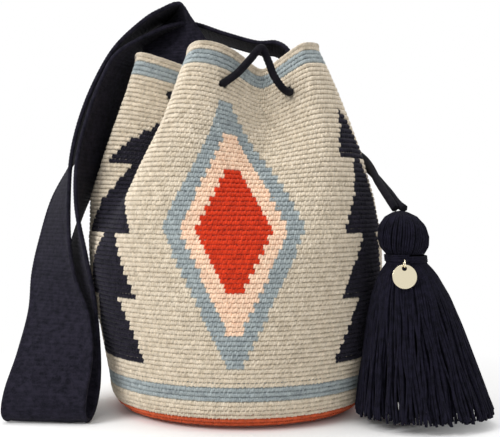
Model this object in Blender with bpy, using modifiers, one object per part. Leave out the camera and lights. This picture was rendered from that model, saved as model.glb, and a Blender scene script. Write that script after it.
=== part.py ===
"""Crocheted shoulder bag with a drawstring mouth, a woven strap, a tassel and a small metal charm.

The bag stands on its round base at the origin, front towards -Y, +Z up, in metres.
"""
import math

import bmesh
import bpy
import numpy as np
from mathutils import Matrix, Vector

COLLECTION = "crochet_bag"

# Bag body: one spiral of crochet from the middle of the base up to the rim.
WALL = 0.0035                   # thickness of the crocheted fabric
BASE_FLAT = 0.076               # radius of the part of the base that touches the floor
TURN_HEIGHT = 0.020             # height at which the base has turned up into the wall
RIM_LEVEL = 0.2515              # mean height of the rim
CORD_LEVEL = 0.2255             # mean height of the row of eyelets
FOLD_START = 0.095              # the folds of the mouth begin at this height ...
FOLD_FULL = 0.215               # ... and are at their full depth here
AROUND = 72                     # faces around the wall
UP = 20                         # faces up the wall

# Outer half width of the bag and sideways lean of its middle, at each height.
HEIGHTS = (0.000, 0.020, 0.042, 0.080, 0.120, 0.150, 0.179, 0.200, 0.226, 0.245, 0.270)
HALF_WIDTHS = (0.0890, 0.0945, 0.0985, 0.1050, 0.1080, 0.1065, 0.0985, 0.0905, 0.0795, 0.0715, 0.0665)
LEANS = (0.000, 0.000, 0.000, -0.001, -0.004, -0.008, -0.009, -0.010, -0.011, -0.0125, -0.0135)

# Folds of the gathered mouth: angle from the front towards the right, share of the half width
# that the wall keeps there, and how far the rim is lifted or pulled down.
FOLDS = (
    (-179, 0.52, -0.007), (-153, 0.98, 0.003), (-127, 0.54, -0.007), (-100, 0.90, 0.003),
    (-76, 0.91, 0.003), (-47, 0.47, -0.008), (-15, 1.03, 0.003), (30, 0.69, -0.011),
    (57, 0.95, 0.009), (84, 1.00, 0.012), (116, 0.96, 0.007), (138, 0.51, -0.006),
    (159, 0.98, 0.003),
)

# The folds lean round the bag: how far they have turned, in degrees, at each height.
LEAN_HEIGHTS = (0.130, 0.170, 0.200, 0.231, 0.252)
FOLD_TURNS = (-17.0, -12.0, -5.0, 0.0, 6.0)

# Drawstring: a braided round cord through the eyelets, both ends tied into the tassel.
CORD = 0.0052                   # diameter
CORD_RING = 0.0535              # distance of the gathered cord from the middle of the mouth
CORD_POINTS = 80
CORD_FOLLOW = 0.6               # share of the lift of the folds that the cord follows
EYELET_ROOM = 0.0006            # an eyelet is this much wider than the cord all round

# Shoulder strap: a woven band.
STRAP_WIDTH = 0.057
STRAP_THICKNESS = 0.0026
STRAP_STATIONS = 112
SEAM = 0.0010                   # sewing yarn at the two ends

# Tassel: a bundle of yarn, folded over the cord ends and bound at the neck.
TASSEL_FOOT = (0.1245, -0.0650)
TASSEL_LEAN = (-0.130, -0.055)  # sideways travel for each metre of height
TASSEL_FLAT = 0.82              # the skirt is this much thinner from front to back
NECK_HEIGHT = 0.1100
NECK_RADIUS = 0.0140

# Charm: a plain round disc on a jump ring, which hangs on a loop of yarn at the neck.
DISC_RADIUS = 0.0078
DISC_THICKNESS = 0.0006
DISC_LEAN = 12                  # degrees that the disc leans back at rest
HOLE_RADIUS = 0.0014
HOLE_OFFSET = 0.0053
RING_RADIUS = 0.0026
RING_WIRE = 0.0004
RING_PLAY = 0.0005              # gap between the ring and the edge of the hole, so that the disc swings
RING_IN_LOOP = 0.00015          # gap between the ring and the loop of yarn
THREAD = 0.0012
THREAD_REACH = 0.0048           # how far the loop of yarn stands out from the neck
THREAD_SPREAD = 0.0026          # half the width of the loop

CLEARANCE = 0.0003              # gap between pieces that touch


def material(name, colour, roughness, metallic=0.0):
    """A plain Principled material."""
    made = bpy.data.materials.new(name)
    made.use_nodes = True
    made.diffuse_color = (*colour, 1.0)
    shader = made.node_tree.nodes["Principled BSDF"]
    shader.inputs["Base Color"].default_value = (*colour, 1.0)
    shader.inputs["Roughness"].default_value = roughness
    shader.inputs["Metallic"].default_value = metallic
    return made


def link(obj, collection, finish=None):
    """Put an object in its collection and give it its material."""
    collection.objects.link(obj)
    if finish is not None:
        obj.data.materials.append(finish)
    return obj


def mesh_object(name, vertices, faces, collection, finish=None):
    """An object from vertices and faces, with all faces turned outwards."""
    mesh = bpy.data.meshes.new(name)
    mesh.from_pydata([tuple(map(float, v)) for v in vertices], [], faces)
    work = bmesh.new()
    work.from_mesh(mesh)
    bmesh.ops.recalc_face_normals(work, faces=work.faces)
    work.to_mesh(mesh)
    work.free()
    mesh.shade_smooth()
    return link(bpy.data.objects.new(name, mesh), collection, finish)


def solid_from(obj, name, collection, finish=None):
    """A plain mesh of an object's evaluated shape, welded, in place of the object."""
    bpy.context.view_layer.update()
    graph = bpy.context.evaluated_depsgraph_get()
    mesh = bpy.data.meshes.new_from_object(obj.evaluated_get(graph))
    matrix = obj.matrix_world.copy()
    bpy.data.objects.remove(obj)
    work = bmesh.new()
    work.from_mesh(mesh)
    bmesh.ops.remove_doubles(work, verts=work.verts, dist=1e-6)
    work.to_mesh(mesh)
    work.free()
    mesh.materials.clear()
    made = bpy.data.objects.new(name, mesh)
    made.matrix_world = matrix
    return link(made, collection, finish)


def smooth_step(value, start, end):
    """0 before start, 1 after end, and a smooth rise between them."""
    share = np.clip((value - start) / (end - start), 0.0, 1.0)
    return share * share * (3.0 - 2.0 * share)


def through_folds(angle, column):
    """A value of the fold table at any angle: flat at each crest and each trough."""
    angles = np.radians([row[0] for row in FOLDS])
    values = np.array([row[column] for row in FOLDS])
    steps = (np.roll(angles, -1) - angles) % math.tau
    rises = (np.roll(values, -1) - values) / steps
    before = np.roll(rises, 1)
    same_way = before * rises > 0
    slopes = np.where(same_way, 2 * before * rises / np.where(same_way, before + rises, 1.0), 0.0)
    angle = np.asarray(angle, dtype=float)
    place = (angle - angles[0]) % math.tau
    starts = np.concatenate([[0.0], np.cumsum(steps)[:-1]])
    index = np.searchsorted(starts, place, side="right") - 1
    after = (index + 1) % len(FOLDS)
    length = steps[index]
    t = (place - starts[index]) / length
    rise = t * t * (3 - 2 * t)
    return (values[index] * (1 - rise) + values[after] * rise
            + length * (slopes[index] * t * (1 - t) ** 2 - slopes[after] * t * t * (1 - t)))


def wall_radius(angle, level):
    """Distance of the outer face from the middle of the bag at a height."""
    depth = smooth_step(level, FOLD_START, FOLD_FULL) ** 1.1
    turn = math.radians(np.interp(level, LEAN_HEIGHTS, FOLD_TURNS))
    return np.interp(level, HEIGHTS, HALF_WIDTHS) * (1 - depth * (1 - through_folds(angle - turn, 1)))


def wall_point(angle, level, outwards=0.0):
    """A point of the outer face, or one that stands off it, at an angle and a fabric height."""
    radius = wall_radius(angle, level) + outwards
    turn = math.radians(np.interp(level, LEAN_HEIGHTS, FOLD_TURNS))
    lift = through_folds(angle - turn, 2) * smooth_step(level, 0.14, RIM_LEVEL)
    x = np.interp(level, HEIGHTS, LEANS) + radius * np.sin(angle)
    return np.stack([x, -radius * np.cos(angle), level + lift], axis=-1)


def section(level, count):
    """Points of one crochet row of the wall, an equal length of yarn apart."""
    angles = np.linspace(-math.pi, math.pi, 1441)
    points = wall_point(angles, level)
    lengths = np.concatenate([[0.0], np.cumsum(np.linalg.norm(np.diff(points, axis=0), axis=1))])
    wanted = np.linspace(0.0, lengths[-1], count, endpoint=False)
    return [[np.interp(s, lengths, points[:, axis]) for axis in range(3)] for s in wanted]


def curve_through(points, count):
    """Evenly spaced points on a smooth curve through the given points."""
    points = np.asarray(points, dtype=float)
    ends = np.vstack([2 * points[0] - points[1], points, 2 * points[-1] - points[-2]])
    fine = []
    for i in range(1, len(ends) - 2):
        a, b, c, d = ends[i - 1:i + 3]
        for t in np.linspace(0, 1, 24, endpoint=False):
            fine.append(0.5 * (2 * b + (c - a) * t + (2 * a - 5 * b + 4 * c - d) * t * t
                               + (3 * b - a - 3 * c + d) * t ** 3))
    fine.append(points[-1])
    fine = np.array(fine)
    lengths = np.concatenate([[0.0], np.cumsum(np.linalg.norm(np.diff(fine[:, :3], axis=0), axis=1))])
    wanted = np.linspace(0.0, lengths[-1], count)
    return np.stack([np.interp(wanted, lengths, fine[:, axis]) for axis in range(fine.shape[1])], axis=1)


def tube(name, points, radius, collection, finish=None, resolution=2, closed=False):
    """A round cord along a list of points."""
    data = bpy.data.curves.new(name, "CURVE")
    data.dimensions = "3D"
    data.bevel_depth = radius
    data.bevel_resolution = resolution
    data.use_fill_caps = not closed
    spline = data.splines.new("POLY")
    spline.points.add(len(points) - 1)
    for target, point in zip(spline.points, points):
        target.co = (*map(float, point), 1.0)
    spline.use_cyclic_u = closed
    return link(bpy.data.objects.new(name, data), collection, finish)


def cord_route():
    """The drawstring from the tassel, round the mouth and back to the tassel."""
    head = Vector((0.1060, -0.0727, 0.1426))

    def beside(degrees, level, stand_off=0.0062):
        return Vector(wall_point(math.radians(degrees), level, stand_off))

    first = [head + Vector((-0.0029, 0.0, 0.0)), Vector((0.1000, -0.0660, 0.1490)),
             Vector((0.0965, -0.0440, 0.1600)), beside(98, 0.178), beside(114, 0.192),
             beside(127, 0.204), beside(136, 0.215)]
    last = [head + Vector((0.0029, 0.0, 0.0)), Vector((0.1055, -0.0650, 0.1465)),
            Vector((0.1015, -0.0440, 0.1560)), beside(98, 0.1715), beside(113, 0.185),
            beside(126, 0.197), beside(136, 0.208), beside(141, 0.217, 0.009)]
    middle = []

    def ring(degrees, distance=CORD_RING, level=CORD_LEVEL):
        angle = math.radians(degrees)
        height = level + float(through_folds(angle, 2)) * CORD_FOLLOW
        lean = float(np.interp(level, HEIGHTS, LEANS))
        middle.append(Vector((lean + distance * math.sin(angle), -distance * math.cos(angle), height)))

    for degrees in (121, 107, 92, 76, 60):
        ring(degrees)
    middle += [Vector((0.0345, -0.0480, 0.2225)), Vector((0.0295, -0.0565, 0.2240)),
               Vector((0.0235, -0.0600, 0.2320)), Vector((0.0195, -0.0615, 0.2420)),
               Vector((0.0150, -0.0635, 0.2500)), Vector((0.0080, -0.0680, 0.2420)),
               Vector((0.0000, -0.0725, 0.2325)), Vector((-0.0075, -0.0745, 0.2265)),
               Vector((-0.0140, -0.0680, 0.2235)), Vector((-0.0190, -0.0590, 0.2235))]
    for degrees, distance in ((-22, 0.0490), (-34, 0.0435), (-47, 0.0425), (-60, 0.0450), (-74, 0.0500)):
        ring(degrees, distance)
    for degrees in range(-88, -216, -12):
        ring(degrees)
    return first + middle + last[::-1]


def make_body(collection, tools, finish):
    """The bag: base, wall and rim, crocheted in one piece, with real eyelets."""
    levels = np.linspace(TURN_HEIGHT, RIM_LEVEL, UP + 1)
    rings = []
    turn = float(np.interp(TURN_HEIGHT, HEIGHTS, HALF_WIDTHS))
    angles = [math.tau * (i / AROUND) - math.pi for i in range(AROUND)]
    for radius in (BASE_FLAT * 0.36, BASE_FLAT * 0.70, BASE_FLAT):
        rings.append([(radius * math.sin(a), -radius * math.cos(a), 0.0) for a in angles])
    for share in (30, 60):
        radius = BASE_FLAT + (turn - BASE_FLAT) * math.sin(math.radians(share))
        height = TURN_HEIGHT * (1 - math.cos(math.radians(share)))
        rings.append([(radius * math.sin(a), -radius * math.cos(a), height) for a in angles])
    rings += [section(level, AROUND) for level in levels]
    vertices = [(0.0, 0.0, 0.0)] + [point for ring in rings for point in ring]
    faces = [(0, 1 + i, 1 + (i + 1) % AROUND) for i in range(AROUND)]
    for row in range(len(rings) - 1):
        for i in range(AROUND):
            a = 1 + row * AROUND + i
            b = 1 + row * AROUND + (i + 1) % AROUND
            faces.append((a, a + AROUND, b + AROUND, b))
    body = mesh_object("bag_body", vertices, faces, collection, finish)
    if body.data.polygons[0].normal.z > 0:
        body.data.flip_normals()
    thick = body.modifiers.new("fabric", "SOLIDIFY")
    thick.thickness = WALL
    thick.offset = -1.0
    points = curve_through(cord_route(), CORD_POINTS)
    around_mouth = points[CORD_POINTS // 6:-CORD_POINTS // 6]
    bore = tube("eyelets", around_mouth, CORD / 2 + EYELET_ROOM, tools, resolution=2)
    bore = solid_from(bore, "eyelet_cutter", tools)
    bore.hide_render = True
    bore.display_type = "WIRE"
    cut = body.modifiers.new("eyelets", "BOOLEAN")
    cut.operation = "DIFFERENCE"
    cut.solver = "EXACT"
    cut.object = bore
    return body


def strap_edges():
    """Near and far edge of the strap, from the left side of the mouth round to the right side."""
    return [
        ((-0.0130, -0.0170, 0.2400), (-0.0685, -0.0050, 0.2400)),
        ((-0.0140, -0.0170, 0.2520), (-0.0695, -0.0040, 0.2520)),
        ((-0.0260, -0.0165, 0.2670), (-0.0725, 0.0150, 0.2690)),
        ((-0.0350, -0.0185, 0.2800), (-0.0620, 0.0310, 0.2820)),
        ((-0.0430, -0.0200, 0.2895), (-0.0500, 0.0365, 0.2925)),
        ((-0.0560, -0.0205, 0.2850), (-0.0580, 0.0360, 0.2885)),
        ((-0.0690, -0.0210, 0.2770), (-0.0700, 0.0355, 0.2800)),
        ((-0.0885, -0.0215, 0.2585), (-0.0900, 0.0350, 0.2605)),
        ((-0.1025, -0.0220, 0.2350), (-0.1050, 0.0345, 0.2360)),
        ((-0.1130, -0.0240, 0.2080), (-0.1180, 0.0325, 0.2090)),
        ((-0.1190, -0.0270, 0.1800), (-0.1280, 0.0290, 0.1800)),
        ((-0.1200, -0.0300, 0.1500), (-0.1430, 0.0220, 0.1500)),
        ((-0.1180, -0.0370, 0.1200), (-0.1500, 0.0100, 0.1190)),
        ((-0.1120, -0.0460, 0.0950), (-0.1520, -0.0055, 0.0950)),
        ((-0.1010, -0.0560, 0.0700), (-0.1495, -0.0265, 0.0700)),
        ((-0.0970, -0.0660, 0.0450), (-0.1515, -0.0490, 0.0450)),
        ((-0.0995, -0.0715, 0.0220), (-0.1562, -0.0650, 0.0220)),
        ((-0.1005, -0.0725, 0.0080), (-0.1573, -0.0690, 0.0080)),
        ((-0.0990, -0.0660, 0.0018), (-0.1558, -0.0620, 0.0018)),
        ((-0.0965, -0.0585, 0.0070), (-0.1530, -0.0530, 0.0070)),
        ((-0.0945, -0.0520, 0.0220), (-0.1490, -0.0360, 0.0220)),
        ((-0.0955, -0.0480, 0.0500), (-0.1410, -0.0145, 0.0500)),
        ((-0.0985, -0.0480, 0.0800), (-0.1340, -0.0035, 0.0800)),
        ((-0.1050, -0.0460, 0.1100), (-0.1275, 0.0060, 0.1100)),
        ((-0.1130, -0.0420, 0.1450), (-0.1165, 0.0145, 0.1450)),
        ((-0.1145, -0.0310, 0.1800), (-0.0990, 0.0240, 0.1800)),
        ((-0.1075, -0.0255, 0.2120), (-0.0885, 0.0285, 0.2130)),
        ((-0.0985, -0.0240, 0.2350), (-0.0800, 0.0290, 0.2360)),
        ((-0.0875, -0.0225, 0.2540), (-0.0725, 0.0320, 0.2560)),
        ((-0.0640, -0.0160, 0.2690), (-0.0640, 0.0405, 0.2715)),
        ((-0.0490, -0.0130, 0.2755), (-0.0490, 0.0440, 0.2775)),
        ((-0.0330, -0.0100, 0.2770), (-0.0330, 0.0470, 0.2780)),
        ((-0.0120, -0.0110, 0.2700), (-0.0090, 0.0455, 0.2710)),
        ((0.0120, -0.0160, 0.2625), (0.0150, 0.0405, 0.2635)),
        ((0.0260, -0.0240, 0.2610), (0.0275, 0.0325, 0.2610)),
        ((0.0345, -0.0300, 0.2540), (0.0350, 0.0265, 0.2540)),
        ((0.0350, -0.0310, 0.2430), (0.0350, 0.0255, 0.2430)),
    ]


def make_strap(collection, finish):
    """The woven band, as a ribbon with thickness along its two edges."""
    pairs = [(*near, *far) for near, far in strap_edges()]
    stations = curve_through(pairs, STRAP_STATIONS)
    vertices = []
    for station in stations:
        near, far = station[:3], station[3:]
        centre, across = (near + far) / 2, (far - near)
        across *= STRAP_WIDTH / 2 / np.linalg.norm(across)
        vertices += [centre - across, centre, centre + across]
    faces = []
    for row in range(STRAP_STATIONS - 1):
        for side in range(2):
            a = row * 3 + side
            faces.append((a, a + 1, a + 4, a + 3))
    strap = mesh_object("shoulder_strap", vertices, faces, collection, finish)
    thick = strap.modifiers.new("weave", "SOLIDIFY")
    thick.thickness = STRAP_THICKNESS
    thick.offset = 0.0
    return strap


def make_seams(collection, finish):
    """Two runs of sewing yarn that fasten the ends of the strap inside the rim."""
    for name, end in (("strap_seam_left", 0), ("strap_seam_right", -1)):
        near, far = (Vector(point) for point in strap_edges()[end])
        across = (far - near).normalized()
        outwards = Vector((across.y, -across.x, 0.0)) * (1 if end == 0 else -1)
        offset = outwards * (STRAP_THICKNESS / 2 + 2 * CLEARANCE + SEAM / 2) + Vector((0.0, 0.0, 0.0045))
        run = [near.lerp(far, share) + offset for share in (0.30, 0.90)]
        tube(name, run, SEAM / 2, collection, finish)


def make_tassel(collection, finish, binding_finish):
    """The bundle of yarn, turned, leaning on the bag, and the yarn that binds its neck."""
    profile = [(0.0000, 0.1405), (0.0055, 0.1398), (0.0115, 0.1368), (0.0160, 0.1310), (0.0174, 0.1240),
               (0.0166, 0.1180), (NECK_RADIUS - 0.0015, NECK_HEIGHT + 0.0030),
               (NECK_RADIUS - 0.0015, NECK_HEIGHT - 0.0030), (0.0190, 0.1000), (0.0255, 0.0850),
               (0.0315, 0.0650), (0.0375, 0.0420), (0.0430, 0.0200), (0.0455, 0.0100), (0.0445, 0.0060),
               (0.0360, 0.0025), (0.0, 0.0015)]
    lean = Matrix.Shear("XY", 4, TASSEL_LEAN)
    place = Matrix.Translation((*TASSEL_FOOT, 0.0))
    for name, outline, skin in (("tassel", profile, finish), ("tassel_binding", None, binding_finish)):
        if outline is None:
            inner, outer = NECK_RADIUS - 0.0015 + CLEARANCE, NECK_RADIUS + 0.0010
            outline = [(inner, NECK_HEIGHT + 0.0022), (outer, NECK_HEIGHT + 0.0022),
                       (outer, NECK_HEIGHT - 0.0022), (inner, NECK_HEIGHT - 0.0022)]
        edges = [(i, i + 1) for i in range(len(outline) - 1)]
        if name == "tassel_binding":
            edges.append((len(outline) - 1, 0))
        mesh = bpy.data.meshes.new(name)
        mesh.from_pydata([(radius, 0.0, height) for radius, height in outline], edges, [])
        obj = link(bpy.data.objects.new(name, mesh), collection)
        turn = obj.modifiers.new("turn", "SCREW")
        turn.steps = 28
        turn.render_steps = 28
        turn.use_merge_vertices = True
        turn.merge_threshold = 0.00001
        turn.use_normal_calculate = True
        solid = solid_from(obj, name, collection, skin)
        for vertex in solid.data.vertices:
            skirt = float(smooth_step(NECK_HEIGHT - vertex.co.z, 0.005, 0.070))
            vertex.co.y *= 1 - (1 - TASSEL_FLAT) * skirt
        solid.data.transform(place @ lean)
        work = bmesh.new()
        work.from_mesh(solid.data)
        bmesh.ops.recalc_face_normals(work, faces=work.faces)
        work.to_mesh(solid.data)
        work.free()
        solid.data.shade_smooth()


def neck_front():
    """The point of the binding that faces the front."""
    return Vector((TASSEL_FOOT[0] + TASSEL_LEAN[0] * NECK_HEIGHT - 0.0045,
                   TASSEL_FOOT[1] + TASSEL_LEAN[1] * NECK_HEIGHT - NECK_RADIUS - 0.0010, NECK_HEIGHT - 0.0008))


def make_charm(collection, yarn, metal):
    """The yarn loop at the neck, the jump ring in it, and the disc that hangs on the ring."""
    front = neck_front()
    loop = []
    for i in range(13):
        angle = math.pi * i / 12
        loop.append(front + Vector((-THREAD_SPREAD * math.cos(angle),
                                    -CLEARANCE - THREAD / 2 - THREAD_REACH * math.sin(angle), 0)))
    tube("charm_thread", loop, THREAD / 2, collection, yarn)
    bar = loop[6]
    gap = THREAD / 2 + RING_WIRE + RING_IN_LOOP
    ring_centre = bar + Vector((0.0, 0.0, gap - RING_RADIUS))
    bpy.ops.mesh.primitive_torus_add(major_radius=RING_RADIUS, minor_radius=RING_WIRE,
                                     major_segments=28, minor_segments=8)
    ring = bpy.context.object
    ring.name = "charm_ring"
    ring.data.transform(Matrix.Rotation(math.radians(90), 4, "Y"))
    ring.location = bar
    ring.data.transform(Matrix.Translation(ring_centre - bar))
    ring.data.shade_smooth()
    for home in list(ring.users_collection):
        home.objects.unlink(ring)
    link(ring, collection, metal)
    pivot = ring_centre + Vector((0.0, 0.0, -RING_RADIUS))
    bpy.ops.mesh.primitive_cylinder_add(vertices=48, radius=DISC_RADIUS, depth=DISC_THICKNESS)
    disc = bpy.context.object
    disc.name = "charm_disc"
    bpy.ops.mesh.primitive_cylinder_add(vertices=20, radius=HOLE_RADIUS, depth=DISC_THICKNESS * 4)
    hole = bpy.context.object
    hole.name = "charm_hole_cutter"
    hole.data.transform(Matrix.Translation((0.0, HOLE_OFFSET, 0.0)))
    upright = Matrix.Rotation(math.radians(90 - DISC_LEAN), 4, "X")
    slack = HOLE_RADIUS - RING_WIRE - RING_PLAY
    for piece in (disc, hole):
        piece.data.transform(Matrix.Translation((0.0, -HOLE_OFFSET - slack, 0.0)))
        piece.data.transform(upright)
        piece.location = pivot
        for home in list(piece.users_collection):
            home.objects.unlink(piece)
    link(disc, collection, metal)
    tools = bpy.data.collections["cutters"]
    link(hole, tools)
    hole.hide_render = True
    hole.display_type = "WIRE"
    cut = disc.modifiers.new("hole", "BOOLEAN")
    cut.operation = "DIFFERENCE"
    cut.solver = "EXACT"
    cut.object = hole


def main():
    for obj in list(bpy.data.objects):
        bpy.data.objects.remove(obj)
    parts = bpy.data.collections.new(COLLECTION)
    tools = bpy.data.collections.new("cutters")
    for collection in (parts, tools):
        bpy.context.scene.collection.children.link(collection)
    cotton = material("crochet_cotton", (0.62, 0.52, 0.38), 0.9)
    navy = material("navy_cotton", (0.014, 0.014, 0.035), 0.85)
    gold = material("gold_plate", (0.83, 0.60, 0.20), 0.25, 1.0)
    make_body(parts, tools, cotton)
    make_strap(parts, navy)
    make_seams(parts, navy)
    tube("drawstring", curve_through(cord_route(), CORD_POINTS), CORD / 2, parts, navy, resolution=2)
    make_tassel(parts, navy, navy)
    make_charm(parts, navy, gold)


main()
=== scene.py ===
"""Looks of a crocheted drawstring bag: cord, fabric, strap, tassel and charm, on a plain floor."""

import math

import bmesh
import bpy
import numpy as np
from mathutils import Matrix, Vector
from mathutils.kdtree import KDTree


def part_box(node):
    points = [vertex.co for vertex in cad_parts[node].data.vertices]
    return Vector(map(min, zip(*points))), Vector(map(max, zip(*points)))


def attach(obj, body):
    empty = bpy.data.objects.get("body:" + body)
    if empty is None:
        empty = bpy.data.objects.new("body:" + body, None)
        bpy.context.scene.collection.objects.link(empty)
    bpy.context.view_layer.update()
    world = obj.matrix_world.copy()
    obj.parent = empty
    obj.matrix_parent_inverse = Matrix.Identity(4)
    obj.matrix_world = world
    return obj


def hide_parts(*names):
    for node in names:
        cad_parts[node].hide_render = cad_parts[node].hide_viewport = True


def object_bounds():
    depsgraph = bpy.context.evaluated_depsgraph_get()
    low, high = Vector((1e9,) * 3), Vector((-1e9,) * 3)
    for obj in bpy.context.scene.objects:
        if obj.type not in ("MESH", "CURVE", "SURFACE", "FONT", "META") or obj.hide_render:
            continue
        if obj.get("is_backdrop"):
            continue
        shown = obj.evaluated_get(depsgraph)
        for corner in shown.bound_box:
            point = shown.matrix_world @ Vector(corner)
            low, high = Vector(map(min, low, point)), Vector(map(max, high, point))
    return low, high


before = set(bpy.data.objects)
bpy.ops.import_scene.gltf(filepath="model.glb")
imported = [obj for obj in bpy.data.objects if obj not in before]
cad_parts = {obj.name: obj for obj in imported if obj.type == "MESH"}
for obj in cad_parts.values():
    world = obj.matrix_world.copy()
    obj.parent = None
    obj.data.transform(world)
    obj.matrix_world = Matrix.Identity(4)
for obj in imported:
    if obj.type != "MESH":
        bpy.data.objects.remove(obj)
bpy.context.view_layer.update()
scene = bpy.context.scene


# Camera, light and floor.
# The camera stands level in front of the bag, and is shifted a little downwards.
# The light is a white room with a large soft lamp at the upper left.
camera = bpy.data.objects.new("camera", bpy.data.cameras.new("camera"))
scene.collection.objects.link(camera)
camera.location = (0.0075, -0.66, 0.145)
camera.rotation_euler = (math.radians(90), 0, 0)
camera.data.sensor_width = 36
camera.data.lens = 64.3
camera.data.shift_y = -0.027
camera.data.clip_start = 0.01
scene.camera = camera
scene.view_settings.view_transform = "Standard"
scene.view_settings.look = "None"

room = bpy.data.worlds.new("room")
room.use_nodes = True
scene.world = room
links = room.node_tree.links
behind = room.node_tree.nodes["Background"]
behind.inputs["Color"].default_value = (1, 1, 1, 1)
behind.inputs["Strength"].default_value = 0.74
seen = room.node_tree.nodes.new("ShaderNodeBackground")
seen.inputs["Color"].default_value = (1, 1, 1, 1)
seen.inputs["Strength"].default_value = 1.0
rays = room.node_tree.nodes.new("ShaderNodeLightPath")
either = room.node_tree.nodes.new("ShaderNodeMixShader")
links.new(rays.outputs["Is Camera Ray"], either.inputs[0])
links.new(behind.outputs[0], either.inputs[1])
links.new(seen.outputs[0], either.inputs[2])
links.new(either.outputs[0], room.node_tree.nodes["World Output"].inputs[0])

for name, place, size, power in (
    ("lamp_left", (-0.95, -0.75, 0.95), 0.7, 12.0),
    ("lamp_top", (-0.10, 0.05, 1.40), 0.9, 5.5),
):
    lamp = bpy.data.objects.new(name, bpy.data.lights.new(name, "AREA"))
    scene.collection.objects.link(lamp)
    lamp.data.shape = "DISK"
    lamp.data.size = size
    lamp.data.energy = power
    lamp.location = place
    lamp.rotation_euler = (Vector((0, 0, 0.12)) - Vector(place)).to_track_quat("-Z", "Y").to_euler()

floor_mesh = bpy.data.meshes.new("floor")
floor_mesh.from_pydata([(-4, -3, 0), (4, -3, 0), (4, 6, 0), (-4, 6, 0)], [], [(0, 1, 2, 3)])
floor = bpy.data.objects.new("floor", floor_mesh)
scene.collection.objects.link(floor)
floor_finish = bpy.data.materials.new("floor_white")
floor_finish.use_nodes = True
shader = floor_finish.node_tree.nodes["Principled BSDF"]
shader.inputs["Base Color"].default_value = (0.95, 0.95, 0.95, 1)
shader.inputs["Roughness"].default_value = 0.7
shader.inputs["Specular IOR Level"].default_value = 0.0
nodes, wires = floor_finish.node_tree.nodes, floor_finish.node_tree.links
spot = nodes.new("ShaderNodeTexCoord")
distance = nodes.new("ShaderNodeVectorMath")
distance.operation = "LENGTH"
fade = nodes.new("ShaderNodeMapRange")
fade.inputs["From Min"].default_value = 0.13
fade.inputs["From Max"].default_value = 0.32
white = nodes.new("ShaderNodeEmission")
white.inputs["Color"].default_value = (1, 1, 1, 1)
blend = nodes.new("ShaderNodeMixShader")
wires.new(spot.outputs["Object"], distance.inputs[0])
wires.new(distance.outputs["Value"], fade.inputs["Value"])
wires.new(fade.outputs[0], blend.inputs[0])
wires.new(shader.outputs[0], blend.inputs[1])
wires.new(white.outputs[0], blend.inputs[2])
wires.new(blend.outputs[0], nodes["Material Output"].inputs[0])
floor_mesh.materials.append(floor_finish)
floor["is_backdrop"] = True


# The form of the bag wall, which the cord, the fabric and the rim follow.
# Half width, lean, twist and folds at each height are the same as in the part's construction.
def smooth_step(value, start, end):
    share = np.clip((value - start) / (end - start), 0.0, 1.0)
    return share * share * (3.0 - 2.0 * share)


folds = np.array([
    (-179, 0.52, -0.007), (-153, 0.98, 0.003), (-127, 0.54, -0.007), (-100, 0.90, 0.003),
    (-76, 0.91, 0.003), (-47, 0.47, -0.008), (-15, 1.03, 0.003), (30, 0.69, -0.011),
    (57, 0.95, 0.009), (84, 1.00, 0.012), (116, 0.96, 0.007), (138, 0.51, -0.006),
    (159, 0.98, 0.003),
])
heights = (0.000, 0.020, 0.042, 0.080, 0.120, 0.150, 0.179, 0.200, 0.226, 0.245, 0.270)
half_widths = (0.0890, 0.0945, 0.0985, 0.1050, 0.1080, 0.1065, 0.0985, 0.0905, 0.0795, 0.0715, 0.0665)
leans = (0.000, 0.000, 0.000, -0.001, -0.004, -0.008, -0.009, -0.010, -0.011, -0.0125, -0.0135)
twist_heights = (0.130, 0.170, 0.200, 0.231, 0.252)
twist_degrees = (-17.0, -12.0, -5.0, 0.0, 6.0)


def through_folds(angle, column):
    """A value of the fold table at any angle: flat at each crest and each trough."""
    angles, values = np.radians(folds[:, 0]), folds[:, column]
    steps = (np.roll(angles, -1) - angles) % math.tau
    rises = (np.roll(values, -1) - values) / steps
    before = np.roll(rises, 1)
    same_way = before * rises > 0
    slopes = np.where(same_way, 2 * before * rises / np.where(same_way, before + rises, 1.0), 0.0)
    place = (np.asarray(angle, dtype=float) - angles[0]) % math.tau
    starts = np.concatenate([[0.0], np.cumsum(steps)[:-1]])
    index = np.searchsorted(starts, place, side="right") - 1
    after = (index + 1) % len(folds)
    length = steps[index]
    t = (place - starts[index]) / length
    rise = t * t * (3 - 2 * t)
    return (values[index] * (1 - rise) + values[after] * rise
            + length * (slopes[index] * t * (1 - t) ** 2 - slopes[after] * t * t * (1 - t)))


def wall_point(angle, level, outwards=0.0):
    """A point of the outer face, or one that stands off it, at an angle and a fabric height."""
    turn = math.radians(np.interp(level, twist_heights, twist_degrees))
    depth = smooth_step(level, 0.095, 0.215) ** 1.1
    radius = np.interp(level, heights, half_widths) * (1 - depth * (1 - through_folds(angle - turn, 1))) + outwards
    lift = through_folds(angle - turn, 2) * smooth_step(level, 0.14, 0.2515)
    x = np.interp(level, heights, leans) + radius * np.sin(angle)
    return np.stack([x, -radius * np.cos(angle), level + lift], axis=-1)


def curve_through(points, count):
    """Evenly spaced points on a smooth curve through the given points."""
    points = np.asarray(points, dtype=float)
    ends = np.vstack([2 * points[0] - points[1], points, 2 * points[-1] - points[-2]])
    t = np.linspace(0, 1, 24, endpoint=False)[:, None]
    fine = []
    for i in range(1, len(ends) - 2):
        a, b, c, d = ends[i - 1:i + 3]
        fine.append(0.5 * (2 * b + (c - a) * t + (2 * a - 5 * b + 4 * c - d) * t * t
                           + (3 * b - a - 3 * c + d) * t ** 3))
    fine = np.vstack([*fine, points[-1:]])
    lengths = np.concatenate([[0.0], np.cumsum(np.linalg.norm(np.diff(fine[:, :3], axis=0), axis=1))])
    wanted = np.linspace(0.0, lengths[-1], count)
    return np.stack([np.interp(wanted, lengths, fine[:, axis]) for axis in range(fine.shape[1])], axis=1)


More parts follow.
